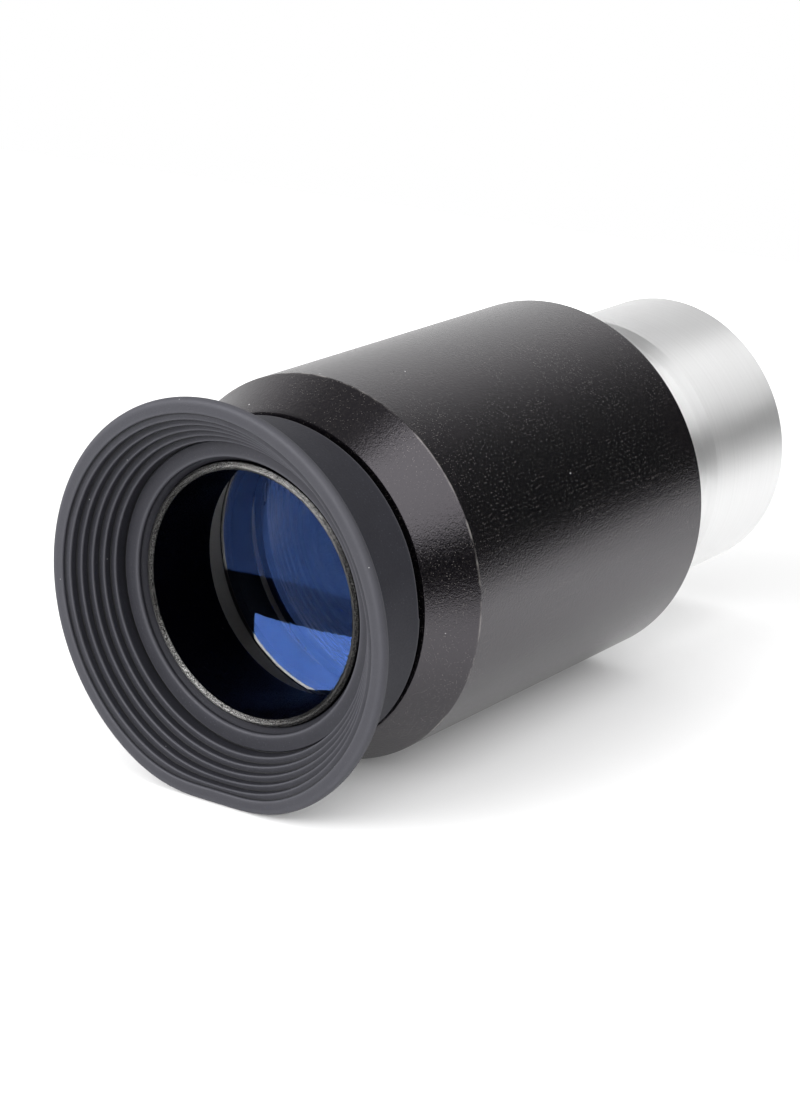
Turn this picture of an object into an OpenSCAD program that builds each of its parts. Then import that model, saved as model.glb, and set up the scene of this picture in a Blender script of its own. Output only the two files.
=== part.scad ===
// Telescope eyepiece with a 31.75 mm nosepiece, lying on its side.
// The optical axis is Y: the eye end points to -Y and the nosepiece to +Y.
// The origin is on the axis, in the plane of the barrel's end face, where a focuser stops.

/* [Main barrel] */
// Outside diameter of the barrel
barrel_d = 40; // [37:0.5:44]
// Length of the barrel's plain cylinder
barrel_len = 41.2; // [38:0.2:60]
// Length of the bevel at the eye end
bevel_len = 5.1; // [3:0.1:8]
// Diameter of the bevel's small end
bevel_d = 34.1; // [32:0.1:36]
// Thickness of the front wall that the neck sleeve seats against
front_wall = 2.2; // [1.5:0.1:4]
// Width of the broken edge at the field end
barrel_edge = 0.5; // [0.2:0.1:1]

/* [Screw joints] */
// Thread diameter shared by the barrel's bore, the field lens ring and the nosepiece
thread_d = 30; // [29:0.1:30.6]
// Radial room between threaded pieces
thread_fit = 0.08; // [0.04:0.01:0.1]
// Depth of the counterbore that the nosepiece seats in
seat_depth = 0.8; // [0.5:0.1:1.5]
// Gap between the nosepiece and the floor of the counterbore
seat_gap = 0.05; // [0.02:0.01:0.1]
// Radial room between the nosepiece and the counterbore
seat_room = 0.12; // [0.08:0.01:0.3]

/* [Nosepiece] */
// Outside diameter, the standard push fit of a focuser
nose_d = 31.75; // [31.5:0.05:32]
// Length beyond the barrel
nose_len = 24.45; // [20:0.05:32]
// Length of the collar next to the barrel
collar_len = 1.8; // [1:0.1:3]
// Depth of the safety undercut
undercut_depth = 0.725; // [0.4:0.025:1.1]
// Length of the undercut's floor
undercut_len = 5.5; // [3:0.1:8]
// Length of each ramp of the undercut
undercut_ramp = 1.25; // [0.5:0.05:2]
// Wall behind the filter thread
nose_wall = 1.925; // [1.8:0.025:2.4]
// Radial step from the bore to the filter thread
filter_step = 0.3; // [0.2:0.05:0.6]
// Depth of the filter thread
filter_len = 5.5; // [3:0.1:8]
// Length of the spigot that screws into the barrel
spigot_len = 6; // [4:0.1:9]
// Wall of the spigot
spigot_wall = 1.2; // [0.9:0.05:1.6]
// Width of the broken edge at the open end
nose_edge = 0.4; // [0.2:0.05:0.8]

/* [Field stop] */
// Radial reach of the field stop inside the nosepiece's bore
stop_lip = 0.75; // [0.5:0.05:3]
// Length of the field stop ring
stop_len = 2; // [1.5:0.1:4]
// Thickness of the stop's edge
stop_edge = 0.3; // [0.2:0.05:0.6]
// Distance of the stop's edge beyond the barrel
stop_at = 5; // [3:0.1:10]

/* [Neck sleeve] */
// Outside diameter of the neck
neck_d = 26.8; // [26.4:0.1:27.4]
// Reach of the neck in front of the barrel
neck_reach = 5.9; // [5:0.1:8]
// Wall of the neck
neck_wall = 0.8; // [0.7:0.05:1.4]
// Radial and end room of the neck in the barrel's front wall
neck_fit = 0.1; // [0.05:0.01:0.2]
// Width of the broken edge at the neck's end
neck_edge = 0.3; // [0.1:0.05:0.35]
// Thickness of the flange behind the barrel's front wall
flange_len = 0.8; // [0.5:0.1:1.5]

/* [Lenses] */
// Radial room of the lenses and the spacer in the barrel's bore
lens_fit = 0.18; // [0.1:0.01:0.3]
// Thickness of the cement between two elements
cement = 0.02; // [0.01:0.01:0.05]
// Radius of the cemented faces
crown_cement_r = 38; // [30:1:60]
// Radius of each crown element's face towards the other lens
crown_air_r = 44; // [34:1:70]
// Thickness of each flint element at its centre
flint_centre = 2; // [1.2:0.1:3.5]
// Thickness of each crown element at its edge
crown_edge = 4; // [2:0.1:5]
// Gap between the two crown elements on the axis
air_gap = 1; // [0.4:0.1:2]

/* [Lens rings] */
// Radial reach of the ring over the field lens
ring_lip = 0.8; // [0.5:0.05:1.5]
// Length of the ring behind the field lens
field_ring_len = 2; // [1.5:0.1:3]
// Width of the field ring's two spanner slots
spanner_w = 1.6; // [1:0.1:2.5]
// Depth of the spanner slots
spanner_depth = 0.9; // [0.5:0.1:1.2]
// Radial thickness of the spacer between the lenses
spacer_wall = 1.1; // [0.8:0.1:2]

/* [Eyecup] */
// Radial room of the eyecup on the neck
cup_fit = 0.12; // [0.06:0.01:0.2]
// Gap between the eyecup and the barrel
cup_gap = 0.6; // [0.3:0.1:1]
// Thickness of the eyecup's plain wall
cup_wall = 3.48; // [3.2:0.02:4.4]
// Height of the shelf above the neck's end
shelf_rise = 0.5; // [0.2:0.1:1]
// Radial gap round the neck's end at the shelf
shelf_gap = 0.6; // [0.3:0.1:1]
// Width of the shelf round the neck
shelf_w = 1.85; // [1.2:0.05:2.2]
// Height of the innermost crease above the shelf
step_base = 0.4; // [0.2:0.1:0.8]
// Number of steps up the flare
step_count = 5; // [3:1:8]
// Height of each step
step_rise = 0.88; // [0.5:0.02:1.4]
// Width of each step
step_run = 0.71; // [0.4:0.01:1.2]
// Height of the lip above the last crease
lip_rise = 0.4; // [0.2:0.05:0.8]
// Width of the lip's flat face
lip_w = 1.5; // [1:0.1:2.5]
// Rounding of the lip's rim
lip_round = 0.35; // [0.2:0.05:0.5]
// Thickness of the flare behind the creases
flare_wall = 1.1; // [0.8:0.1:2]
// Half width of the part of the rim that bends on the table, in degrees
bend_angle = 17; // [10:1:30]
// How fast the bend dies away from the lip towards the shelf
bend_fade = 2.3; // [1:0.1:4]
// Edges round the eyecup's rings
cup_sides = 72; // [36:12:96]

/* [Hidden] */
$fn = 96;
ball_sides = 480;

black_anodised = [0.08, 0.08, 0.085];
black_gloss = [0.03, 0.03, 0.03];
matte_grey = [0.2, 0.2, 0.2];
rubber_grey = [0.15, 0.15, 0.16];
satin_metal = [0.8, 0.8, 0.8];
coated_glass = [0.45, 0.55, 0.95, 0.5];

// Spare length that keeps cuts clear of the faces they end at
eps = 0.5;

// Height of a sphere's cap of the given radius over a rim of radius rim
function cap(radius, rim) = radius - sqrt(radius * radius - rim * rim);

// Stations along the axis, from the barrel's end face towards the eye
rim_at = -barrel_len;
front_at = rim_at - bevel_len;
shoulder_at = front_at + front_wall;
neck_end = front_at - neck_reach;
neck_bore_r = neck_d / 2 - neck_wall;
barrel_bore_r = thread_d / 2 + thread_fit;

// Stations of the lens stack, from the eye towards the field
lens_r = barrel_bore_r - lens_fit;
ring_r = lens_r - ring_lip;
cement_cap = cap(crown_cement_r, lens_r);
air_cap = cap(crown_air_r, lens_r);
crown_mid = cement_cap + crown_edge + air_cap;
eye_face = shoulder_at + flange_len;
eye_flint_end = eye_face + flint_centre;
eye_crown_at = eye_flint_end + cement;
eye_vertex = eye_crown_at + crown_mid;
field_vertex = eye_vertex + air_gap;
field_crown_end = field_vertex + crown_mid;
field_flint_at = field_crown_end + cement;
field_face = field_flint_at + flint_centre;
field_ring_end = field_face + field_ring_len;
spacer_r = lens_r - spacer_wall;
spacer_cap = cap(crown_air_r, spacer_r);

// Radii of the nosepiece and the field stop in it
nose_bore_r = nose_d / 2 - nose_wall;
filter_r = nose_bore_r + filter_step;
undercut_r = nose_d / 2 - undercut_depth;
spigot_bore_r = thread_d / 2 - spigot_wall;
stop_r = nose_bore_r - stop_lip;

// Carries a shape drawn round Z over to the optical axis Y
module on_axis() rotate([-90, 0, 0]) children();

// Solid of revolution from points of radius and station along the axis
module turned(points) on_axis() rotate_extrude() polygon(points);

// Plain ring between two stations
module ring(outer, inner, from, to)
  turned([[inner, from], [outer, from], [outer, to], [inner, to]]);

// Disc of glass between two stations
module glass_disc(from, to) on_axis() translate([0, 0, from]) cylinder(r = lens_r, h = to - from);

// Full sphere with its centre on the axis, which grinds a lens face
module axis_ball(radius, at) on_axis() translate([0, 0, at]) sphere(r = radius, $fn = ball_sides);

module main_barrel() color(black_anodised)
  turned([
    [barrel_bore_r, -seat_depth],
    [nose_d / 2 + seat_room, -seat_depth],
    [nose_d / 2 + seat_room, 0],
    [barrel_d / 2 - barrel_edge, 0],
    [barrel_d / 2, -barrel_edge],
    [barrel_d / 2, rim_at],
    [bevel_d / 2, front_at],
    [neck_d / 2 + neck_fit, front_at],
    [neck_d / 2 + neck_fit, shoulder_at],
    [barrel_bore_r, shoulder_at]
  ]);

module neck_sleeve() color(black_gloss)
  turned([
    [neck_bore_r, neck_end + neck_edge],
    [neck_bore_r + neck_edge, neck_end],
    [neck_d / 2 - neck_edge, neck_end],
    [neck_d / 2, neck_end + neck_edge],
    [neck_d / 2, shoulder_at],
    [thread_d / 2, shoulder_at],
    [thread_d / 2, eye_face],
    [neck_bore_r, eye_face]
  ]);

module eye_flint() color(coated_glass)
  difference() {
    glass_disc(eye_face, eye_flint_end + cement_cap + eps);
    axis_ball(crown_cement_r, eye_flint_end + crown_cement_r);
  }

module eye_crown() color(coated_glass)
  intersection() {
    glass_disc(eye_crown_at - eps, eye_vertex + eps);
    axis_ball(crown_cement_r, eye_crown_at + crown_cement_r);
    axis_ball(crown_air_r, eye_vertex - crown_air_r);
  }

module lens_spacer() color(matte_grey)
  ring(lens_r, spacer_r, eye_vertex - spacer_cap + cement, field_vertex + spacer_cap - cement);

module field_crown() color(coated_glass)
  intersection() {
    glass_disc(field_vertex - eps, field_crown_end + eps);
    axis_ball(crown_air_r, field_vertex + crown_air_r);
    axis_ball(crown_cement_r, field_crown_end - crown_cement_r);
  }

module field_flint() color(coated_glass)
  difference() {
    glass_disc(field_flint_at - cement_cap - eps, field_face);
    axis_ball(crown_cement_r, field_flint_at - crown_cement_r);
  }

module field_ring() color(matte_grey)
  difference() {
    ring(thread_d / 2, ring_r, field_face, field_ring_end);
    for (side = [-1, 1])
      translate([side * lens_r, field_ring_end - spanner_depth / 2 + eps / 2, 0])
        cube([lens_r, spanner_depth + eps, spanner_w], center = true);
  }

module field_stop() color(matte_grey)
  turned([
    [stop_r, stop_at - stop_edge],
    [nose_bore_r - thread_fit, stop_at - stop_len],
    [nose_bore_r - thread_fit, stop_at],
    [stop_r, stop_at]
  ]);

module nosepiece() color(satin_metal) {
  undercut_from = collar_len + undercut_ramp;
  undercut_to = undercut_from + undercut_len;
  seat_at = seat_gap - seat_depth;
  seat_r = (thread_d + nose_d) / 4;
  turned([
    [spigot_bore_r, seat_at - spigot_len],
    [thread_d / 2, seat_at - spigot_len],
    [thread_d / 2, seat_at],
    [seat_r, seat_at],
    [seat_r, 0],
    [nose_d / 2, 0],
    [nose_d / 2, collar_len],
    [undercut_r, undercut_from],
    [undercut_r, undercut_to],
    [nose_d / 2, undercut_to + undercut_ramp],
    [nose_d / 2, nose_len - nose_edge],
    [nose_d / 2 - nose_edge, nose_len],
    [filter_r, nose_len],
    [filter_r, nose_len - filter_len],
    [nose_bore_r, nose_len - filter_len],
    [nose_bore_r, 0],
    [spigot_bore_r, 0]
  ]);
}

// Stations and radii of the eyecup
cup_base = front_at - cup_gap;
cup_bore_r = neck_d / 2 + cup_fit;
cup_r = cup_bore_r + cup_wall;
shelf_at = neck_end - shelf_rise;
shelf_hole_r = neck_d / 2 + shelf_gap;
cup_edge = 0.3;
crease_r = [for (k = [0:step_count]) shelf_hole_r + shelf_w + k * step_run];
crease_at = [for (k = [0:step_count]) shelf_at - step_base - k * step_rise];
lip_r = crease_r[step_count] + lip_w;
lip_at = crease_at[step_count] - lip_rise;

// Back of the flare: the line of creases moved outwards by the wall's thickness
flare_slope = norm([step_run, step_rise]);
back_r = flare_wall * step_rise / flare_slope;
back_at = flare_wall * step_run / flare_slope;
flare_root = crease_at[0] + back_at - (cup_r - crease_r[0] - back_r) * step_rise / step_run;

// Outline of the eyecup's wall as radius and station, once round
cup_outline = concat(
  [
    [cup_bore_r + cup_edge, cup_base],
    [cup_bore_r, cup_base - cup_edge],
    [cup_bore_r, neck_end + shelf_gap],
    [shelf_hole_r, neck_end],
    [shelf_hole_r, shelf_at + cup_edge],
    [shelf_hole_r + cup_edge, shelf_at],
    [crease_r[0] - cup_edge, shelf_at],
    [crease_r[0], shelf_at + cup_edge]
  ],
  [for (k = [0:step_count - 1]) each [[crease_r[k], crease_at[k + 1]], [crease_r[k + 1], crease_at[k + 1]]]],
  [
    [crease_r[step_count], lip_at],
    [lip_r - lip_round, lip_at],
    [lip_r, lip_at + lip_round],
    [crease_r[step_count] + back_r, crease_at[step_count] + back_at],
    [cup_r, flare_root],
    [cup_r, cup_base - cup_edge],
    [cup_r - cup_edge, cup_base]
  ]
);

// Share of the rim's bend that a point at this radius takes: none at the first crease, all at the lip
function bend_share(r) =
  pow(min(1, max(0, (r - crease_r[0]) / (crease_r[step_count] - crease_r[0]))), bend_fade);

// How far the table pushes the rim inwards at this angle from straight down
function table_push(down) = max(0, lip_r - barrel_d / 2) * exp(-pow(down / bend_angle, 2));

// Point of the bent eyecup: turned round the axis, with the lower rim pressed flat by the table
function cup_point(p, a) =
  let (r = p[0] - bend_share(p[0]) * table_push(abs(a - 270)))
  [r * cos(a), p[1], r * sin(a)];

module eyecup() color(rubber_grey) {
  rows = len(cup_outline);
  points = [for (j = [0:cup_sides - 1]) for (p = cup_outline) cup_point(p, j * 360 / cup_sides)];
  faces = [
    for (j = [0:cup_sides - 1])
      for (i = [0:rows - 1])
        let (
          here = j * rows,
          next = ((j + 1) % cup_sides) * rows,
          up = (i + 1) % rows
        )
        each [[here + i, here + up, next + up], [here + i, next + up, next + i]]
  ];
  polyhedron(points, faces);
}

eyecup();
main_barrel();
neck_sleeve();
eye_flint();
eye_crown();
lens_spacer();
field_crown();
field_flint();
field_ring();
field_stop();
nosepiece();
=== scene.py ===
import math

import bpy
import numpy as np
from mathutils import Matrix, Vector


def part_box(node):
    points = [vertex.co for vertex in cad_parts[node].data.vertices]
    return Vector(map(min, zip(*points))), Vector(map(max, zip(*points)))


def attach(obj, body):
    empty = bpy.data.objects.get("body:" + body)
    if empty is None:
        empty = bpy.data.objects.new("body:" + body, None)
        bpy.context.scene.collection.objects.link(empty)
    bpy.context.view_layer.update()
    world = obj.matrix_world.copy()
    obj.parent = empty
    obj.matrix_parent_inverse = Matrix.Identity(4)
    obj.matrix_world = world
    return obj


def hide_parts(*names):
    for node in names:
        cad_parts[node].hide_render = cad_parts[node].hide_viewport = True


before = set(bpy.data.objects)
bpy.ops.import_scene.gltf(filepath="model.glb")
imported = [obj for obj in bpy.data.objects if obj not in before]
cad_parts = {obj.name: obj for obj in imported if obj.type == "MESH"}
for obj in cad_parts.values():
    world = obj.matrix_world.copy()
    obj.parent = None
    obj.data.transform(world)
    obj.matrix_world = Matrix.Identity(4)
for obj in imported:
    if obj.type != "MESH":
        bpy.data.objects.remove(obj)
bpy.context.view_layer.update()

# Main barrel: a tube turned from aluminium with a long bevel at its eye end, sand-blasted and
# anodised black. Its bore holds the neck sleeve and the lenses, and the nosepiece screws into its
# other end.
MM = 0.001


def reach(node):
    """Largest radius and the two end stations of a turned CAD node, in millimetres."""
    low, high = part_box(node)
    return high.x / MM, low.y / MM, high.y / MM


def outline(corners, arc_steps=5, longest=1.2):
    """Closed outline through (radius, station, rounding) corners, in millimetres.

    Each corner becomes an arc that touches both of its sides: centre + rounding times a direction
    that turns evenly from one touching point to the other. The straight stretches between the arcs
    are divided by a cosine, so that the steps are short next to an arc.
    """
    spots = np.array([corner[:2] for corner in corners], float)
    rounding = np.array([corner[2] for corner in corners], float)[:, None]
    back = np.roll(spots, 1, 0) - spots
    back /= np.linalg.norm(back, axis=1, keepdims=True)
    ahead = np.roll(spots, -1, 0) - spots
    ahead /= np.linalg.norm(ahead, axis=1, keepdims=True)
    half = np.arccos(np.clip((back * ahead).sum(1, keepdims=True), -1, 1)) / 2
    touch = rounding / np.tan(half)
    inwards = (back + ahead) / np.linalg.norm(back + ahead, axis=1, keepdims=True)
    centre = spots + inwards * rounding / np.sin(half)
    start = spots + back * touch - centre
    end = spots + ahead * touch - centre
    sweep = np.pi - 2 * half
    share = np.linspace(0, 1, arc_steps + 1)[:, None, None]
    arcs = np.sin((1 - share) * sweep) * start + np.sin(share * sweep) * end
    arcs = centre + arcs / np.sin(sweep)
    ring = arcs.transpose(1, 0, 2).reshape(-1, 2)
    step = np.roll(ring, -1, 0) - ring
    parts = np.ceil(np.linalg.norm(step, axis=1) / longest + 0.5).astype(int)
    first = np.repeat(np.arange(len(ring)), parts)
    count = np.arange(parts.sum()) - np.repeat(np.cumsum(parts) - parts, parts)
    along = (1 - np.cos(np.pi * count / parts[first])) / 2
    ring = ring[first] + step[first] * along[:, None]
    ahead = np.roll(ring, -1, 0)
    area = (ring[:, 0] * ahead[:, 1] - ahead[:, 0] * ring[:, 1]).sum()
    return ring if area > 0 else ring[::-1]


def surface(name, points, faces):
    """Smooth mesh object from points in millimetres and faces that point outwards."""
    mesh = bpy.data.meshes.new(name)
    mesh.from_pydata((points.reshape(-1, 3) * MM).tolist(), [], faces)
    mesh.polygons.foreach_set("use_smooth", np.ones(len(mesh.polygons), bool))
    piece = bpy.data.objects.new(name, mesh)
    bpy.context.collection.objects.link(piece)
    return piece


def lathe(name, ring, sides=300, shape=None):
    """Closed surface of revolution of an outline round the optical axis Y.

    Point (i, j) is (r cos a, y, r sin a) with a = 2 pi i / sides and (r, y) point j of the outline.
    shape(a, r, y) may give each point another radius and station.
    """
    turn = np.arange(sides)[:, None] * 2 * np.pi / sides + 0 * ring[:, 0]
    radius = ring[:, 0] + 0 * turn
    station = ring[:, 1] + 0 * turn
    if shape:
        radius, station = shape(turn, radius, station)
    points = np.stack([radius * np.cos(turn), station, radius * np.sin(turn)], -1)
    here = np.arange(turn.size).reshape(turn.shape)
    beside = np.roll(here, -1, 0)
    faces = np.stack([here, np.roll(here, -1, 1), np.roll(beside, -1, 1), beside], -1)
    return surface(name, points, faces.reshape(-1, 4).tolist())


class Link:
    """An output in a shader tree that reads like a number: its operators add Math nodes."""

    def __init__(self, tree, socket):
        self.tree = tree
        self.socket = socket

    def node(self, kind, settings, inputs, output=0):
        """Adds any node: its settings first, then the values or links of its inputs."""
        made = self.tree.nodes.new("ShaderNode" + kind)
        for setting, value in settings.items():
            setattr(made, setting, value)
        self.fill(made, inputs)
        return Link(self.tree, made.outputs[output])

    def fill(self, made, inputs):
        """Sets each named or numbered input of a node to a value, or links it."""
        for key, value in inputs.items():
            if isinstance(value, Link):
                self.tree.links.new(value.socket, made.inputs[key])
            else:
                made.inputs[key].default_value = value

    def math(self, operation, first, second=0.0):
        """A Math node of one or two values."""
        return self.node("Math", {"operation": operation}, {0: first, 1: second})

    def __add__(self, other):
        return self.math("ADD", self, other)

    def __radd__(self, other):
        return self.math("ADD", other, self)

    def __sub__(self, other):
        return self.math("SUBTRACT", self, other)

    def __rsub__(self, other):
        return self.math("SUBTRACT", other, self)

    def __mul__(self, other):
        return self.math("MULTIPLY", self, other)

    def __rmul__(self, other):
        return self.math("MULTIPLY", other, self)

    def __gt__(self, other):
        return self.math("GREATER_THAN", self, other)

    def __abs__(self):
        return self.math("ABSOLUTE", self)

    def part(self, index):
        """One component of a vector or colour."""
        return self.node("SeparateXYZ", {}, {0: self}, index)

    def vector(self, operation, other, output=0):
        """Vector Math of this vector and another."""
        return self.node("VectorMath", {"operation": operation}, {0: self, 1: other}, output)

    def from_axis(self):
        """Distance of a place from the optical axis."""
        return self.vector("MULTIPLY", (1, 0, 1)).vector("LENGTH", (0, 0, 0), 1)

    def step(self, low, high):
        """Smooth step from 0 at low to 1 at high."""
        ends = {"Value": self, "From Min": low, "From Max": high}
        return self.node("MapRange", {"interpolation_type": "SMOOTHSTEP"}, ends)

    def noise(self, size, detail=2.0):
        """Noise whose lumps are about size millimetres across."""
        scale = 1 / (size * MM)
        return self.node("TexNoise", {}, {"Vector": self, "Scale": scale, "Detail": detail})

    def specks(self, spacing, size, share):
        """Mask of scattered dots, in millimetres: one cell in 1/share holds a dot of that size."""
        cells = {"Vector": self, "Scale": 1 / (spacing * MM)}
        near = self.node("TexVoronoi", {}, cells)
        chosen = self.node("TexVoronoi", {}, cells, 1).part(0) > 1 - share
        return (1 - near.step(0.5 * size / spacing, size / spacing)) * chosen

    def tint(self, low, high):
        """Colour between two others, by this value."""
        ends = {0: self, 6: low, 7: high}
        return self.node("Mix", {"data_type": "RGBA"}, ends, 2)

    def relief(self, depth):
        """Normal of a surface that this value raises by up to depth millimetres."""
        return self.node("Bump", {}, {"Height": self, "Distance": depth * MM, "Strength": 1.0})

    def tilted(self, offset):
        """This normal, leaning by an offset vector."""
        return self.vector("ADD", offset).vector("NORMALIZE", (0, 0, 0))


def grey(level, warmth=0.0):
    """Opaque grey, a little warmer or cooler."""
    return (level * (1 + warmth), level, level * (1 - warmth), 1)


def finish(name):
    """A new material, its shader node and its Object coordinates."""
    material = bpy.data.materials.new(name)
    material.use_nodes = True
    nodes = material.node_tree.nodes
    place = Link(material.node_tree, nodes.new("ShaderNodeTexCoord").outputs["Object"])
    return material, nodes["Principled BSDF"], place


def seat(piece, node, body, slot, *materials):
    """Dresses a piece and lets it stand for a CAD node, on that node's body."""
    for material in materials:
        piece.data.materials.append(material)
    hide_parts(node)
    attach(piece, body)


barrel_r, barrel_front, barrel_end = reach("main_barrel")
BEVEL_LEN = 5.1
BEVEL_R = 17.05
BORE_R = 15.08
COUNTERBORE_R = 15.995
COUNTERBORE_DEPTH = 0.8
FRONT_WALL = 2.2
FRONT_HOLE_R = 13.5
END_CHAMFER = 0.5
BARREL_SIDES = 360
BORE_PITCH = 0.75
BORE_SHADE = (15.3, 15.5)
RIM_WEAR_AND_HIGHLIGHT = (0.02, 0.16)
ANODISED_DARK = (0.0006, 0.0004, 0.0009, 1)
ANODISED_PALE = (0.0014, 0.001, 0.002, 1)
ANODISED_GLEAM = (0.98, 0.92, 1.0, 1)
ANODISED_INDEX = 1.72
barrel_rim = barrel_front + BEVEL_LEN

black_anodised, shader, place = finish("black_anodised")
grain = place.noise(0.13, 1.0)
blast = place.noise(0.3, 2.0)
cloud = place.noise(7.0)
# Painted glints: scattered lighter specks in the base colour, only where the cloud noise is high.
painted_glints = place.specks(0.18, 0.055, 0.35) * cloud.step(0.2, 0.75)
pits = place.specks(2.2, 0.09, 0.25)
dust = place.specks(2.6, 0.1, 0.2)
station = place.part(1)
bevel = 1 - station.step((barrel_rim - 0.1) * MM, barrel_rim * MM)
bore = 1 - place.from_axis().step(BORE_SHADE[0] * MM, BORE_SHADE[1] * MM)
thread = bore * place.math("SINE", station * (2 * math.pi / (BORE_PITCH * MM)))
# A thin lighter line along the bevel's rim, patchy by noise: partly wear, partly a painted highlight.
rim_wear_and_highlight = 1 - abs(station - barrel_rim * MM).step(RIM_WEAR_AND_HIGHLIGHT[0] * MM, RIM_WEAR_AND_HIGHLIGHT[1] * MM)
rim_wear_and_highlight = rim_wear_and_highlight * place.noise(2.0).step(0.35, 0.75)
tone = cloud.tint(ANODISED_DARK, ANODISED_PALE)
tone = grain.step(0.5, 0.8).tint(tone, grey(0.016, 0.1))
tone = (0.6 * painted_glints).tint(tone, grey(0.2, 0.08))
tone = (0.35 * rim_wear_and_highlight).tint(tone, grey(0.4, 0.05))
place.fill(shader, {
    "Base Color": dust.tint(tone, grey(0.4)),
    "Roughness": 0.2 + 0.05 * blast + 0.1 * bore + 0.5 * pits - 0.03 * bevel,
    "IOR": ANODISED_INDEX,
    "Specular Tint": ANODISED_GLEAM,
    "Normal": (0.02 * grain + 0.02 * blast + 0.05 * thread).relief(1.0),
})

barrel = lathe("barrel_tube", outline([
    (BORE_R, barrel_end - COUNTERBORE_DEPTH, 0.03),
    (COUNTERBORE_R, barrel_end - COUNTERBORE_DEPTH, 0.03),
    (COUNTERBORE_R, barrel_end, 0.08),
    (barrel_r - END_CHAMFER, barrel_end, 0.12),
    (barrel_r, barrel_end - END_CHAMFER, 0.25),
    (barrel_r, barrel_rim, 0.22),
    (BEVEL_R, barrel_front, 0.12),
    (FRONT_HOLE_R, barrel_front, 0.08),
    (FRONT_HOLE_R, barrel_front + FRONT_WALL, 0.03),
    (BORE_R, barrel_front + FRONT_WALL, 0.03),
]), BARREL_SIDES)
seat(barrel, "main_barrel", "barrel", "black_anodised", black_anodised)

# Neck sleeve: a thin turned tube that goes through the barrel's front wall from behind and carries
# the eyecup; its flange sits between the wall and the eye lens. It is gloss black, and the finish has
# rubbed off its end to the metal, which is painted lighter in two opposite sectors, a painted
# highlight.
neck_flange_r, neck_end, eye_face = reach("neck_sleeve")
NECK_R = 13.4
NECK_BORE_R = 12.6
NECK_EDGE = 0.3
WORN_END = (0.2, 0.34)
WORN_TILT = 0.6
HIGHLIGHT_ACROSS = 0.34
HIGHLIGHT_UP = 0.94
PAINT_DARK = (0.0004, 0.0004, 0.001, 1)
PAINT_PALE = (0.0008, 0.0008, 0.002, 1)

gloss_black, shader, place = finish("gloss_black")
tree = gloss_black.node_tree
facing = Link(tree, tree.nodes.new("ShaderNodeNewGeometry").outputs["Normal"])
scuff = place.noise(0.1, 2.0)
end = 1 - place.part(1).step((neck_end + WORN_END[0]) * MM, (neck_end + WORN_END[1]) * MM)
outwards = place.vector("MULTIPLY", (1, 0, 1)).vector("NORMALIZE", (0, 0, 0))
groove = end * (place.node("TexWhiteNoise", {"noise_dimensions": "3D"}, {"Vector": place}) - 0.5)
lean = {0: outwards, "Scale": groove * (2 * WORN_TILT)}
tilt = place.node("VectorMath", {"operation": "SCALE"}, lean)
paint = place.noise(3.0).tint(PAINT_DARK, PAINT_PALE)
# Painted highlight: the bare metal is lighter in two opposite sectors round the axis, on top of
# patchy scuffing.
wear_and_highlight = abs(HIGHLIGHT_ACROSS * outwards.part(0) + HIGHLIGHT_UP * outwards.part(2)).step(0.4, 0.9)
wear_and_highlight = scuff.step(0.42, 0.7) * (0.4 + 0.65 * wear_and_highlight)
metal = wear_and_highlight.tint(grey(0.012), grey(0.36, 0.02))
place.fill(shader, {
    "Base Color": end.tint(paint, metal),
    "Metallic": end,
    "Roughness": 0.22 + 0.1 * scuff + 0.05 * end,
    "Specular IOR Level": 0.03,
    "Normal": facing.tilted(tilt),
})

sleeve = lathe("neck_tube", outline([
    (NECK_BORE_R, neck_end + NECK_EDGE, 0.1),
    (NECK_BORE_R + NECK_EDGE, neck_end, 0.1),
    (NECK_R - NECK_EDGE, neck_end, 0.1),
    (NECK_R, neck_end + NECK_EDGE, 0.1),
    (NECK_R, barrel_front + FRONT_WALL, 0.03),
    (neck_flange_r, barrel_front + FRONT_WALL, 0.05),
    (neck_flange_r, eye_face, 0.05),
    (NECK_BORE_R, eye_face, 0.05),
]))
seat(sleeve, "neck_sleeve", "barrel", "gloss_black", gloss_black)

# Eye lens and field lens: two equal cemented pairs with their full crowns face to face and flat
# flints outside. Glass against air has a blue coating that stops short of the rim; the edges are
# ground and left grey.
lens_r = reach("eye_flint")[0]
crown_front, crown_vertex = reach("eye_crown")[1:]
lens_middle = (crown_vertex + reach("field_crown")[1]) / 2
CEMENT_RADIUS = 38.0
CROWN_RADIUS = 44.0
CEMENT = 0.02
COAT_EDGE = 0.3
BEVEL_SHADE = 0.5
LENS_SIDES = 240
SHARP_ANGLE = math.radians(25)
GLASS_INDEX = 1.6
MIRROR_SHARE = 0.044
COAT_BLUE = (0.15, 0.32, 1.0, 1)
CEMENT_HAZE = 0.004


def cap(radius, r):
    """Depth of a sphere below its top, at r from the axis: R less the root of R^2 - r^2."""
    return radius - np.sqrt(radius * radius - r * r)


def glass(name, coat):
    """Clear glass that mirrors a little in its coating's colour, unevenly where it is smeared."""
    material, _, place = finish(name)
    tree = material.node_tree
    smear = place.noise(2.5, 4.0)
    clear = {"Color": grey(1.0), "Roughness": 0.0, "IOR": GLASS_INDEX}
    through = place.node("BsdfRefraction", {}, clear)
    mirrored = place.node("BsdfAnisotropic", {}, {"Color": coat, "Roughness": 0.01})
    share = MIRROR_SHARE * (0.9 + 0.2 * smear)
    both = place.node("MixShader", {}, {0: share, 1: through, 2: mirrored})
    tree.links.new(both.socket, tree.nodes["Material Output"].inputs["Surface"])
    return material


def face(radii, stations):
    """Rows of an outline, from arrays of radii and stations."""
    return np.stack([radii, stations + 0 * radii], 1)


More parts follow.
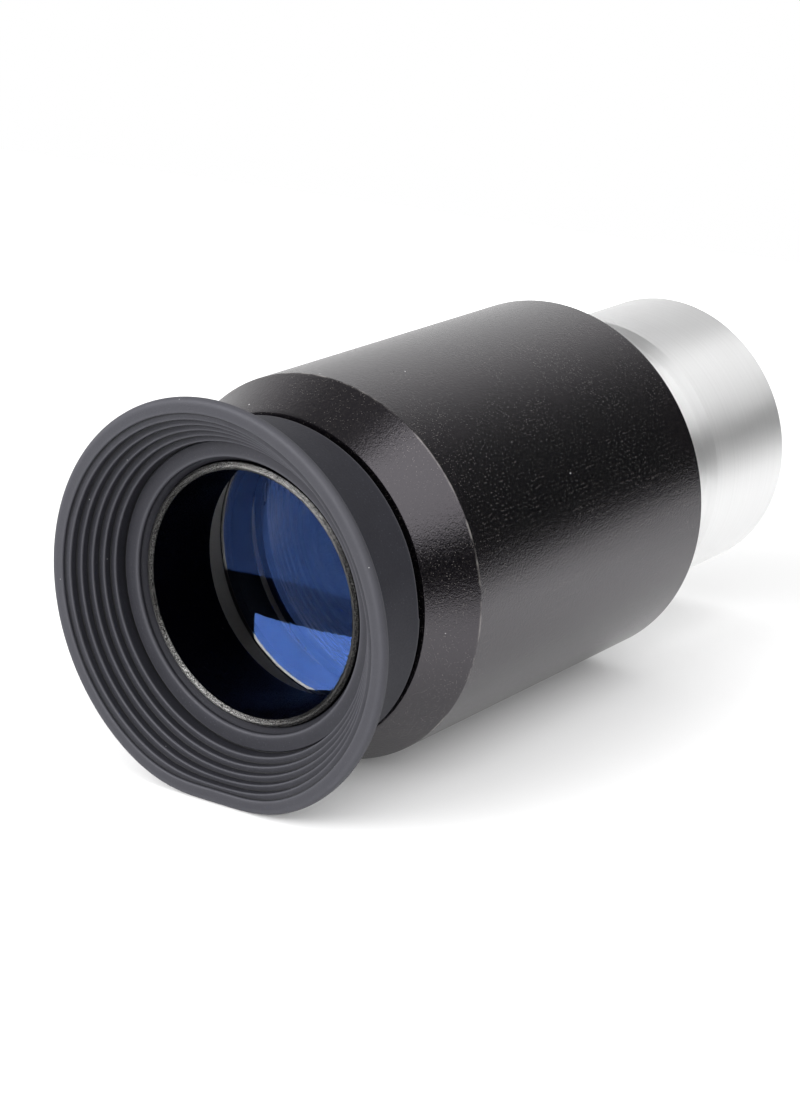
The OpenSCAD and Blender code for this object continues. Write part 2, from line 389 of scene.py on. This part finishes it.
def lens_element(name, bands, mirror=None):
    """Closed lens from bands of (material number, outline rows), from the front's axis to the back's.

    Point (i, j) is row j of the joined bands turned by a = 2 pi i / LENS_SIDES round Y, with one
    point on the axis at each end. A reversed lens is mirrored at the station mirror.
    """
    rows = np.concatenate([bands[0][1]] + [points[1:] for _, points in bands[1:]])
    kind = np.concatenate([np.full(len(points) - 1, number) for number, points in bands])
    if mirror is not None:
        rows = rows * (1, -1) + (0, 2 * mirror)
    turn = np.arange(LENS_SIDES)[:, None] * 2 * np.pi / LENS_SIDES
    radius, station = rows[1:-1].T
    points = np.stack([radius * np.cos(turn), station + 0 * turn, radius * np.sin(turn)], -1)
    poles = np.array([[0, rows[0, 1], 0], [0, rows[-1, 1], 0]])
    here = np.arange(LENS_SIDES * len(radius)).reshape(LENS_SIDES, -1)
    beside = np.roll(here, -1, 0)
    quads = np.stack([here[:, :-1], here[:, 1:], beside[:, 1:], beside[:, :-1]], -1).reshape(-1, 4)
    pole = 0 * here[:, :1] + here.size
    front = np.hstack([pole, here[:, :1], beside[:, :1]])
    back = np.hstack([pole + 1, beside[:, -1:], here[:, -1:]])
    order = slice(None) if mirror is None else slice(None, None, -1)
    sheets = [sheet[:, order].tolist() for sheet in (quads, front, back)]
    piece = surface(name, np.concatenate([points.reshape(-1, 3), poles]), sum(sheets, []))
    kinds = np.concatenate([np.tile(kind[1:-1], LENS_SIDES), np.repeat(kind[[0, -1]], LENS_SIDES)])
    piece.data.polygons.foreach_set("material_index", kinds.astype(np.int32))
    piece.data.set_sharp_from_angle(angle=SHARP_ANGLE)
    return piece


coated_glass = glass("coated_glass", COAT_BLUE)
bare_glass = glass("bare_glass", grey(1.0))

ground_edge, shader, place = finish("ground_edge")
# Painted light: the ground edges are painted lighter towards the top, and glow faintly, more at the
# top.
high = place.part(2).step(-10 * MM, 6 * MM)
dark_grain = high.tint(grey(0.22), grey(0.6))
pale_grain = high.tint(grey(0.3), grey(0.75))
place.fill(shader, {
    "Base Color": place.noise(0.3).tint(dark_grain, pale_grain),
    "Roughness": 0.8,
    "Emission Color": high.tint(grey(0.006), grey(0.03)),
    "Emission Strength": 1.0,
})

edge_shade, shader, place = finish("edge_shade")
place.fill(shader, {
    "Base Color": place.noise(0.3).tint(grey(0.02), grey(0.04)),
    "Roughness": 0.7,
})

clear_cement, shader, place = finish("clear_cement")
tree = clear_cement.node_tree
place.fill(shader, {"Base Color": grey(0.7)})
clear = place.node("BsdfTransparent", {}, {"Color": grey(1.0)})
milky = Link(tree, shader.outputs[0])
both = place.node("MixShader", {}, {0: CEMENT_HAZE * place.noise(2.0), 1: clear, 2: milky})
tree.links.new(both.socket, tree.nodes["Material Output"].inputs["Surface"])

full = np.linspace(0, lens_r, 60)
coated = np.linspace(0, lens_r - COAT_EDGE, 60)
rim = np.linspace(lens_r - COAT_EDGE, lens_r, 4)
flint_back = crown_front - CEMENT
flint_rim = flint_back + cap(CEMENT_RADIUS, lens_r)
crown_rim = crown_vertex - cap(CROWN_RADIUS, lens_r)
shade_from = crown_rim - BEVEL_SHADE
flint_bands = [
    (0, face(full, eye_face)),
    (1, np.array([[lens_r, eye_face], [lens_r, (eye_face + flint_rim) / 2], [lens_r, flint_rim]])),
    (2, face(full, flint_back + cap(CEMENT_RADIUS, full))[::-1]),
]
crown_bands = [
    (2, face(full, crown_front + cap(CEMENT_RADIUS, full))),
    (1, np.array([[lens_r, flint_rim + CEMENT], [lens_r, shade_from]])),
    (3, np.array([[lens_r, shade_from], [lens_r, crown_rim]])),
    (4, face(rim, crown_vertex - cap(CROWN_RADIUS, rim))[::-1]),
    (0, face(coated, crown_vertex - cap(CROWN_RADIUS, coated))[::-1]),
]
optics = (coated_glass, ground_edge, clear_cement, edge_shade, bare_glass)
for lens, mirror in (("eye", None), ("field", lens_middle)):
    flint = lens_element(lens + "_flint_glass", flint_bands, mirror)
    seat(flint, lens + "_flint", "barrel", "coated_glass", *optics)
    crown = lens_element(lens + "_crown_glass", crown_bands, mirror)
    seat(crown, lens + "_crown", "barrel", "clear_glass", *optics)

# Lens spacer and field lens ring: the spacer keeps the two lenses apart at their rims, and the
# slotted ring screws into the barrel's bore behind the field lens. Both are turned and blackened.
matte_black, shader, place = finish("matte_black")
powder = place.noise(0.2)
place.fill(shader, {
    "Base Color": powder.tint(grey(0.001), grey(0.003)),
    "Roughness": 0.7 + 0.2 * powder,
    "Specular IOR Level": 0.15,
    "Normal": powder.relief(0.01),
})

spacer_outer, spacer_from, spacer_to = reach("lens_spacer")
SPACER_WALL = 1.1
spacer = lathe("lens_spacer_ring", outline([
    (spacer_outer - SPACER_WALL, spacer_from, 0.05),
    (spacer_outer, spacer_from, 0.05),
    (spacer_outer, spacer_to, 0.05),
    (spacer_outer - SPACER_WALL, spacer_to, 0.05),
]))
seat(spacer, "lens_spacer", "barrel", "matte_black", matte_black)

field_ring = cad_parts["field_ring"]
field_ring.data.materials.clear()
field_ring.data.materials.append(matte_black)

# Nosepiece: the push-fit tube that goes into a focuser, turned from aluminium and left bright, with
# a safety undercut, a screw thread at each end and a blackened, grooved bore against stray light.
nose_r, spigot_end, nose_end = reach("nosepiece")
SPIGOT_R = 15.0
SPIGOT_BORE_R = 13.8
SEAT_AT = -0.75
SEAT_R = (SPIGOT_R + nose_r) / 2
COLLAR_LEN = 1.8
UNDERCUT_RAMP = 1.25
UNDERCUT_LEN = 5.5
UNDERCUT_R = nose_r - 0.725
NOSE_EDGE = 0.4
NOSE_BORE_R = 13.95
FILTER_R = 14.25
FILTER_LEN = 5.5
FILTER_PITCH = 0.6
GROOVES_FROM = 6.0
SPIGOT_THREAD = 0.4
BORE_GROOVE = 0.18
FILTER_THREAD = 0.27
SAME_R = 0.01
NOSE_SIDES = 240
TURNED_TILT = 0.9
FEED = 0.4
undercut_from = COLLAR_LEN + UNDERCUT_RAMP
undercut_to = undercut_from + UNDERCUT_LEN
filter_from = nose_end - FILTER_LEN


def screw(turn, station, low, high, pitch):
    """Depth from 0 to 1 of a screw thread between two stations.

    It is a triangle wave of station / pitch less the share of a turn, faded over a pitch at each end.
    """
    wave = np.abs((station / pitch - turn / (2 * np.pi)) % 1 - 0.5) * 2
    ends = np.clip(np.minimum(station - low, high - station) / pitch, 0, 1)
    return wave * ends


def threaded(turn, radius, station):
    """Cuts the spigot's thread, the bore's fine grooves and the filter thread into the nosepiece.

    Where r is that of the thread's cylinder, r changes by the thread's depth times screw().
    """
    spigot = np.abs(radius - SPIGOT_R) < SAME_R
    cut = screw(turn, station, spigot_end + 0.3, SEAT_AT - 0.3, BORE_PITCH)
    radius = radius - SPIGOT_THREAD * spigot * cut
    bore = np.abs(radius - NOSE_BORE_R) < SAME_R
    cut = screw(turn, station, GROOVES_FROM, filter_from - 0.5, FILTER_PITCH)
    radius = radius + BORE_GROOVE * bore * cut
    mouth = np.abs(radius - FILTER_R) < SAME_R
    cut = screw(turn, station, filter_from + 0.3, nose_end - 0.2, FILTER_PITCH)
    radius = radius - FILTER_THREAD * mouth * cut
    return radius, station


satin_aluminium, shader, place = finish("satin_aluminium")
tree = satin_aluminium.node_tree
facing = Link(tree, tree.nodes.new("ShaderNodeNewGeometry").outputs["Normal"])
groove = place.node("TexWhiteNoise", {"noise_dimensions": "3D"}, {"Vector": place})
tilt = place.node("CombineXYZ", {}, {1: (groove - 0.5) * (2 * TURNED_TILT)})
lines = {"W": place.part(1), "Scale": 1 / (FEED * MM), "Detail": 3.0}
feed_lines = place.node("TexNoise", {"noise_dimensions": "1D"}, lines)
inside = 1 - place.from_axis().step((FILTER_R + 0.02) * MM, (FILTER_R + 0.08) * MM)
handling = place.noise(4.0, 4.0)
place.fill(shader, {
    "Base Color": inside.tint(feed_lines.tint(grey(0.89), grey(0.97)), grey(0.006)),
    "Metallic": 1 - inside,
    "Roughness": 0.33 + 0.08 * handling + 0.3 * inside,
    "Specular IOR Level": 0.15,
    "Normal": facing.tilted(tilt),
})

nose = lathe("nosepiece_tube", outline([
    (SPIGOT_BORE_R, spigot_end, 0.1),
    (SPIGOT_R, spigot_end, 0.25),
    (SPIGOT_R, SEAT_AT, 0.03),
    (SEAT_R, SEAT_AT, 0.05),
    (SEAT_R, 0.0, 0.03),
    (nose_r, 0.0, 0.12),
    (nose_r, COLLAR_LEN, 0.15),
    (UNDERCUT_R, undercut_from, 0.3),
    (UNDERCUT_R, undercut_to, 0.3),
    (nose_r, undercut_to + UNDERCUT_RAMP, 0.15),
    (nose_r, nose_end - NOSE_EDGE, 0.12),
    (nose_r - NOSE_EDGE, nose_end, 0.12),
    (FILTER_R, nose_end, 0.1),
    (FILTER_R, filter_from, 0.03),
    (NOSE_BORE_R, filter_from, 0.05),
    (NOSE_BORE_R, 0.0, 0.03),
    (SPIGOT_BORE_R, 0.0, 0.03),
], 4, 0.09), NOSE_SIDES, threaded)
seat(nose, "nosepiece", "nosepiece", "satin_aluminium", satin_aluminium)

# Field stop: a thin-edged ring screwed into the nosepiece's bore, at the lenses' focus, which gives
# the view its sharp round border. It is turned aluminium, blackened all over.
stop_r, stop_from, stop_to = reach("field_stop")
STOP_OPEN_R = 13.2
STOP_EDGE = 0.3

stop = lathe("field_stop_ring", outline([
    (STOP_OPEN_R, stop_to - STOP_EDGE, 0.05),
    (stop_r, stop_from, 0.05),
    (stop_r, stop_to, 0.05),
    (STOP_OPEN_R, stop_to, 0.05),
]))
seat(stop, "field_stop", "field_stop", "matte_black", matte_black)

# Eyecup: moulded soft rubber, pushed over the neck, with a shelf round the eye lens and five steps up
# to its lip. The eyepiece lies on its side, so the table presses the lip's lowest part inwards.
lip_r, lip_at, cup_base = reach("eyecup")
CUP_BORE_R = 13.52
CUP_R = 17.0
SHELF_HOLE_R = 14.0
SHELF_AT = neck_end - 0.5
STEP_COUNT = 5
STEP_RUN = 0.71
STEP_RISE = 0.88
FIRST_CREASE_R = 15.85
FIRST_CREASE_AT = SHELF_AT - 0.4
FLARE_WALL = 1.1
BEND_ANGLE = math.radians(17)
BEND_FADE = 2.3
CREST_ROUND = 0.16
CREASE_ROUND = 0.07
BASE_DIP = 0.22
BASE_WAVES = ((0.12, 0.22, 1.0), (1.35, 0.3, 0.6))
CUP_SIDES = 360
RUBBER_DARK = (0.009, 0.009, 0.0135, 1)
RUBBER_PALE = (0.016, 0.016, 0.0225, 1)
RUBBER_GRIT = (0.06, 0.06, 0.072, 1)
RUBBER_CREST_SHEEN_AND_WEAR = (0.06, 0.06, 0.071, 1)
RUBBER_WORN = (0.026, 0.026, 0.031, 1)
RUBBER_GLEAM = (0.95, 0.95, 1.0, 1)
crease_r = FIRST_CREASE_R + STEP_RUN * np.arange(STEP_COUNT + 1)
crease_at = FIRST_CREASE_AT - STEP_RISE * np.arange(STEP_COUNT + 1)
slope = math.hypot(STEP_RUN, STEP_RISE)
back_r = FLARE_WALL * STEP_RISE / slope
back_at = FLARE_WALL * STEP_RUN / slope
flare_root = crease_at[0] + back_at - (CUP_R - crease_r[0] - back_r) * STEP_RISE / STEP_RUN
rim_push = lip_r - barrel_r + 0.001


def pressed(turn, radius, station):
    """Bends the rim: r less push * share * exp(-(a / width)^2), with a the angle from straight down.

    The share grows from 0 at the first crease to 1 at the last one. The base's edge waves a little:
    its station falls by BASE_DIP times the sum of height * exp(-((turn - angle) / width)^2).
    """
    down = np.arctan2(np.sin(turn - 1.5 * np.pi), np.cos(turn - 1.5 * np.pi))
    share = np.clip((radius - crease_r[0]) / (crease_r[-1] - crease_r[0]), 0, 1) ** BEND_FADE
    outer = np.clip((station - flare_root) / (cup_base - flare_root), 0, 1)
    wave = sum(high * np.exp(-((turn - angle) / width) ** 2) for angle, width, high in BASE_WAVES)
    station = station - BASE_DIP * wave * outer ** 4
    return radius - rim_push * share * np.exp(-(down / BEND_ANGLE) ** 2), station


steps = []
for here, ahead in zip(range(STEP_COUNT), range(1, STEP_COUNT + 1)):
    steps.append((crease_r[here], crease_at[ahead], CREST_ROUND))
    steps.append((crease_r[ahead], crease_at[ahead], CREASE_ROUND))

cup_outline = outline([
    (CUP_BORE_R, cup_base, 0.3),
    (CUP_BORE_R, neck_end + 0.6, 0.1),
    (SHELF_HOLE_R, neck_end, 0.1),
    (SHELF_HOLE_R, SHELF_AT, 0.25),
    (crease_r[0] - 0.2, SHELF_AT, 0.18),
    (crease_r[0], SHELF_AT + 0.35, 0.06),
    *steps,
    (crease_r[-1], lip_at, 0.18),
    (lip_r, lip_at, 0.5),
    (lip_r, lip_at + 0.9, 0.3),
    (crease_r[-1] + back_r, crease_at[-1] + back_at, 0.3),
    (CUP_R, flare_root, 0.5),
    (CUP_R, cup_base, 0.35),
], 5, 0.35)
cup = lathe("eyecup_rubber", cup_outline, CUP_SIDES, pressed)

# How far each point of the outline stands out (above 0) or lies in a crease (below 0): the bend of
# the outline there, smoothed along it.
ahead = np.roll(cup_outline, -1, 0) - cup_outline
course = np.unwrap(np.arctan2(ahead[:, 1], ahead[:, 0]))
bend = course - np.roll(course, 1)
bend[0] += 2 * np.pi
bend = np.clip(bend, -0.3, 0.3)
fade = np.exp(-(np.arange(-6, 7) / 2.5) ** 2)
crest = np.convolve(np.tile(bend, 3), fade / fade.sum(), "same")[len(bend):2 * len(bend)]
crest = np.tile(crest / np.abs(crest).max(), CUP_SIDES)
edges = cup.data.attributes.new("edge", "FLOAT", "POINT")
edges.data.foreach_set("value", crest.astype(np.float32))

rubber, shader, place = finish("rubber")
edge = place.node("Attribute", {"attribute_name": "edge"}, {}, "Fac")
skin = place.noise(0.22, 3.0)
bloom = place.noise(3.5, 4.0)
lip_wear = (1 - place.part(1).step(lip_at * MM, (lip_at + 1.6) * MM)) * bloom.step(0.3, 0.75)
lint = place.specks(1.5, 0.075, 0.3)
grit = place.specks(0.26, 0.06, 0.4) * bloom.step(0.25, 0.65)
tone = bloom.tint(RUBBER_DARK, RUBBER_PALE)
tone = (0.8 * grit).tint(tone, RUBBER_GRIT)
# Crests are painted lighter, partly a painted highlight and partly wear; creases are painted near
# black, painted shade.
tone = (0.7 * edge.step(0.1, 0.9)).tint(tone, RUBBER_CREST_SHEEN_AND_WEAR)
tone = (0.85 * (0 - edge).step(0.05, 0.6)).tint(tone, grey(0.001))
tone = (0.3 * lip_wear).tint(tone, RUBBER_WORN)
place.fill(shader, {
    "Base Color": lint.tint(tone, grey(0.42)),
    "Roughness": 0.56 + 0.16 * skin,
    "Specular IOR Level": 0.46,
    "Specular Tint": RUBBER_GLEAM,
    "Normal": (0.7 * skin + 0.3 * bloom).relief(0.035),
})
seat(cup, "eyecup", "eyecup", "rubber", rubber)

# Table: a white board under the eyepiece, as large as its reflections in the barrel and the eye lens
# show, which fades into a white room. It keeps the eyepiece's shadow.
TABLE_LOW = (-420.0, -330.0)
TABLE_HIGH = (160.0, 200.0)
TABLE_Z = -barrel_r
TABLE_ROWS = 30
WHITE_FROM = (0, -20.0, TABLE_Z)
WHITE_REACH = (100.0, 190.0)
DIM_REACH = (40.0, 160.0)
PAINTED_SHADOW_REACH = (8.0, 45.0)
across = np.linspace(TABLE_LOW[0], TABLE_HIGH[0], TABLE_ROWS)[:, None]
along = np.linspace(TABLE_LOW[1], TABLE_HIGH[1], TABLE_ROWS)
points = np.stack([across + 0 * along, along + 0 * across, TABLE_Z + 0 * across * along], -1)
here = np.arange(TABLE_ROWS ** 2).reshape(TABLE_ROWS, -1)
quads = np.stack([here[:-1, :-1], here[1:, :-1], here[1:, 1:], here[:-1, 1:]], -1).reshape(-1, 4)
table = surface("table", points, quads.tolist())

table_white, shader, place = finish("table_white")
tree = table_white.node_tree
seen = Link(tree, tree.nodes.new("ShaderNodeLightPath").outputs["Is Camera Ray"])
middle = tuple(measure * MM for measure in WHITE_FROM)
far = place.vector("DISTANCE", middle, 1).step(*(measure * MM for measure in WHITE_REACH))
dim = place.part(0).step(*(measure * MM for measure in DIM_REACH))
behind = place.part(1).step(*(measure * MM for measure in PAINTED_SHADOW_REACH))
far = seen * place.math("MAXIMUM", far, dim)
board = place.noise(9.0).tint(grey(0.8), grey(0.82))
# Painted shadow: behind the eyepiece the board is painted darker, for the nosepiece's soft shadow.
board = behind.tint(board, grey(0.64))
place.fill(shader, {
    "Base Color": dim.tint(board, grey(0.1)),
    "Roughness": 0.9,
    "Specular IOR Level": 0.0,
    # Painted light: near the eyepiece the board glows faintly, which lifts its shadow; far off it
    # glows white to the camera.
    "Emission Color": far.tint((1 - dim).tint(grey(0.0), grey(0.09)), grey(1.0)),
    "Emission Strength": 1.0,
})
table.data.materials.append(table_white)

# Studio: a white backdrop behind the eyepiece, to the left of its nosepiece, in a dark room, with a
# soft box on the right and a bright window in front of the eye end. The window doesn't light the
# barrel and the nosepiece, which would clip to white from behind.
room = bpy.data.worlds.new("studio")
bpy.context.scene.world = room
room.use_nodes = True
tree = room.node_tree
heading = Link(tree, tree.nodes.new("ShaderNodeTexCoord").outputs["Generated"])


def towards(azimuth, elevation):
    """Unit vector; azimuth in degrees from +Y towards +X."""
    a, e = math.radians(azimuth), math.radians(elevation)
    return math.sin(a) * math.cos(e), math.cos(a) * math.cos(e), math.sin(e)


backdrop = heading.vector("DOT_PRODUCT", towards(-42, 5), 1).step(0.4, 0.95)
level = 0.02 + 0.98 * backdrop + 0.2 * heading.part(2).step(0.5, 1.0)
path = tree.nodes.new("ShaderNodeLightPath").outputs
seen = Link(tree, path["Is Camera Ray"])
glossy = Link(tree, path["Is Glossy Ray"])
through = Link(tree, path["Is Transmission Ray"])
sharp = heading.math("MAXIMUM", glossy, through)
wall = heading.vector("DOT_PRODUCT", towards(-90, 20), 1).step(0.2, 1.0)
level = sharp * level + (1 - sharp) * (0.66 + 1.5 * wall)
level = heading.node("CombineXYZ", {}, {0: level, 1: level, 2: level})
lit = heading.node("Background", {}, {"Color": level})
plain = heading.node("Background", {}, {"Color": grey(1.0)})
mixed = heading.node("MixShader", {}, {0: seen, 1: lit, 2: plain})
tree.links.new(mixed.socket, tree.nodes["World Output"].inputs["Surface"])


def soft_light(name, centre, azimuth, elevation, width, height, watts):
    """Rectangular light, in millimetres, that faces back along a direction and isn't seen itself."""
    lamp = bpy.data.lights.new(name, "AREA")
    lamp.shape = "RECTANGLE"
    lamp.size = width * MM
    lamp.size_y = height * MM
    lamp.energy = watts
    holder = bpy.data.objects.new(name, lamp)
    holder.location = np.array(centre) * MM
    holder.rotation_euler = (math.radians(90 - elevation), 0, math.radians(180 - azimuth))
    holder.visible_camera = False
    bpy.context.collection.objects.link(holder)
    return holder


WINDOW_AZIMUTH = -172
WINDOW_FAR = 500.0
WINDOW_SIDES = (-154.0, 420.0)
WINDOW_HEIGHTS = (118.0, 440.0)
WINDOW_WATTS = 5.8
DAYLIGHT_WATTS = 4.0
SOFT_BOX_AIM = (100, 48)
SOFT_BOX_FAR = 600.0
SOFT_BOX_SIZE = (850, 620)
SOFT_BOX_WATTS = 3.1
ahead = np.array(towards(WINDOW_AZIMUTH, 0))
left = np.array(towards(WINDOW_AZIMUTH + 90, 0))
centre = ahead * WINDOW_FAR + left * sum(WINDOW_SIDES) / 2 + (0, eye_face, sum(WINDOW_HEIGHTS) / 2)
window_size = (WINDOW_SIDES[1] - WINDOW_SIDES[0], WINDOW_HEIGHTS[1] - WINDOW_HEIGHTS[0])
window = soft_light("window", centre, WINDOW_AZIMUTH, 0, *window_size, WINDOW_WATTS)
window.visible_diffuse = False
beside_window = bpy.data.collections.new("beside_window")
for number, piece in enumerate((barrel, nose)):
    beside_window.objects.link(piece)
    beside_window.collection_objects[number].light_linking.link_state = "EXCLUDE"
window.light_linking.receiver_collection = beside_window
daylight = soft_light("daylight", centre, WINDOW_AZIMUTH, 0, *window_size, DAYLIGHT_WATTS)
daylight.visible_glossy = False
daylight.visible_transmission = False
centre = np.array(towards(*SOFT_BOX_AIM)) * SOFT_BOX_FAR
soft_light("soft_box", centre, *SOFT_BOX_AIM, *SOFT_BOX_SIZE, SOFT_BOX_WATTS)

# Camera: where the photographer stood, above and to the right of the eye end.
PICTURE = (800, 1096)
FOCAL_PIXELS = 2840.3
SENSOR = 36.0
CAMERA_AT = (0.169663, -0.252696, 0.088624)
CAMERA_DIP = 17.697
CAMERA_TURN = 37.016
camera = bpy.data.objects.new("camera", bpy.data.cameras.new("camera"))
camera.data.sensor_width = SENSOR
camera.data.lens = SENSOR * FOCAL_PIXELS / max(PICTURE)
camera.data.clip_start = 0.01
camera.location = CAMERA_AT
camera.rotation_euler = (math.radians(90 - CAMERA_DIP), 0, math.radians(CAMERA_TURN))
bpy.context.collection.objects.link(camera)
bpy.context.scene.camera = camera
bpy.context.scene.view_settings.view_transform = "Standard"
